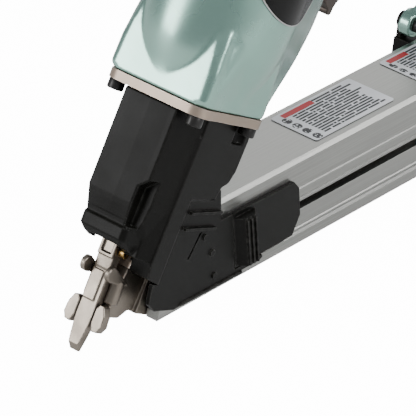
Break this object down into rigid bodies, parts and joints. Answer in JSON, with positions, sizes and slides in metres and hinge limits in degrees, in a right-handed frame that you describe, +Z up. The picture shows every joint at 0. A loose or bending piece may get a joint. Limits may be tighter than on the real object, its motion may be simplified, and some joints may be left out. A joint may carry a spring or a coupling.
{
  "type": "pneumatic strip nailer",
  "caption": "Pneumatic nailer for metal connectors: round barrel with side handle, straight slanted strip magazine, pointed positioning probe at the nose and a turning exhaust deflector.",
  "frame": {"origin": "middle of the footprint, on the surface that the probe tip and the rear foot stand on", "axes": "+X along the magazine to the rear, +Y to the right-hand side seen from behind, +Z up"},
  "size_m": [0.4102, 0.091, 0.3068],
  "materials": {
    "enamel": "silver green metallic enamel, satin",
    "flange_steel": "warm raw steel, fine ground",
    "nose_steel": "nickelled cast steel, satin",
    "bright_steel": "bright turned steel",
    "trigger_metal": "dark plated, satin",
    "black_oxide": "black oxide",
    "black_plastic": "glass filled nylon, satin",
    "aluminium": "brushed along its length, clear anodised",
    "badge_face": "gloss black with a raised ring",
    "rubber": "matt moulded rubber",
    "brass": "turned brass",
    "label": null
  },
  "bodies": {
    "housing": {"body_housing": "enamel", "head_cap": "enamel", "handle_end_cap": "enamel", "nose_flange": "flange_steel", "driver_guide": "nose_steel", "head_valve_spring": "bright_steel", "push_lever_spring": "bright_steel", "nail_rail": "bright_steel", "air_plug": "bright_steel", "trigger_pin": "bright_steel", "deflector_screw": "black_oxide", "boss_screw": "black_oxide", "flange_screw_1": "black_oxide", "flange_screw_2": "black_oxide", "flange_screw_3": "black_oxide", "flange_screw_4": "black_oxide", "head_screw_1": "black_oxide", "head_screw_2": "black_oxide", "head_screw_3": "black_oxide", "head_screw_4": "black_oxide", "end_cap_screw_1": "black_oxide", "end_cap_screw_2": "black_oxide", "end_cap_screw_3": "black_oxide", "magazine_screw_1": "black_oxide", "magazine_screw_2": "black_oxide", "magazine_screw_3": "black_oxide", "magazine_screw_4": "black_oxide", "nose_cover": "black_plastic", "side_cover_left": "black_plastic", "side_cover_right": "black_plastic", "magazine_end_cap": "black_plastic", "magazine_bracket": "black_plastic", "magazine_body": "aluminium", "cylinder_sleeve": "aluminium", "badge": "badge_face", "handle_grip": "rubber", "piston_bumper": "rubber", "valve_bushing": "brass", "lever_bush": "brass", "label_front": "label", "label_rear": "label"},
    "driver": {"piston": "aluminium", "piston_ring": "rubber", "driver_blade": "bright_steel"},
    "head_valve": {"head_valve": "black_plastic"},
    "deflector": {"exhaust_deflector": "trigger_metal"},
    "push_lever": {"push_lever": "nose_steel"},
    "trigger": {"trigger": "trigger_metal"},
    "plunger": {"trigger_plunger": "bright_steel"},
    "feeder": {"nail_feeder": "black_plastic", "feeder_spring_drum": "bright_steel", "drum_pin": "bright_steel"}
  },
  "joints": [
    {"name": "push_lever_slide", "type": "slide", "parent": "housing", "child": "push_lever", "axis": [0.4415, 0, 0.8973], "range_m": [0, 0.016], "stiffness_N_per_m": 600, "springref_m": -0.04, "deforming": ["push_lever_spring"]},
    {"name": "driver_slide", "type": "slide", "parent": "housing", "child": "driver", "axis": [-0.4415, 0, -0.8973], "range_m": [0, 0.07]},
    {"name": "head_valve_slide", "type": "slide", "parent": "housing", "child": "head_valve", "axis": [0.4415, 0, 0.8973], "range_m": [0, 0.006], "stiffness_N_per_m": 2000, "springref_m": -0.01, "deforming": ["head_valve_spring"]},
    {"name": "deflector_turn", "type": "hinge", "parent": "housing", "child": "deflector", "pos_m": [-0.04913, 0.00055, 0.28227], "axis": [0.4415, 0, 0.8973], "continuous": true},
    {"name": "trigger_pull", "type": "hinge", "parent": "housing", "child": "trigger", "pos_m": [0.00786, 0.00055, 0.18291], "axis": [0, -1, 0], "range_deg": [0, 8], "stiffness_Nm_per_rad": 0.3, "springref_deg": -11.46},
    {"name": "plunger_slide", "type": "slide", "parent": "housing", "child": "plunger", "axis": [0.4415, 0, 0.8973], "range_m": [0, 0.0046]},
    {"name": "feeder_slide", "type": "slide", "parent": "housing", "child": "feeder", "axis": [1, 0, 0], "range_m": [0, 0.17], "stiffness_N_per_m": 40, "springref_m": -0.3}
  ],
  "couplings": [
    {"joint": "plunger_slide", "follows": "trigger_pull", "m_per_rad": 0.031}
  ]
}
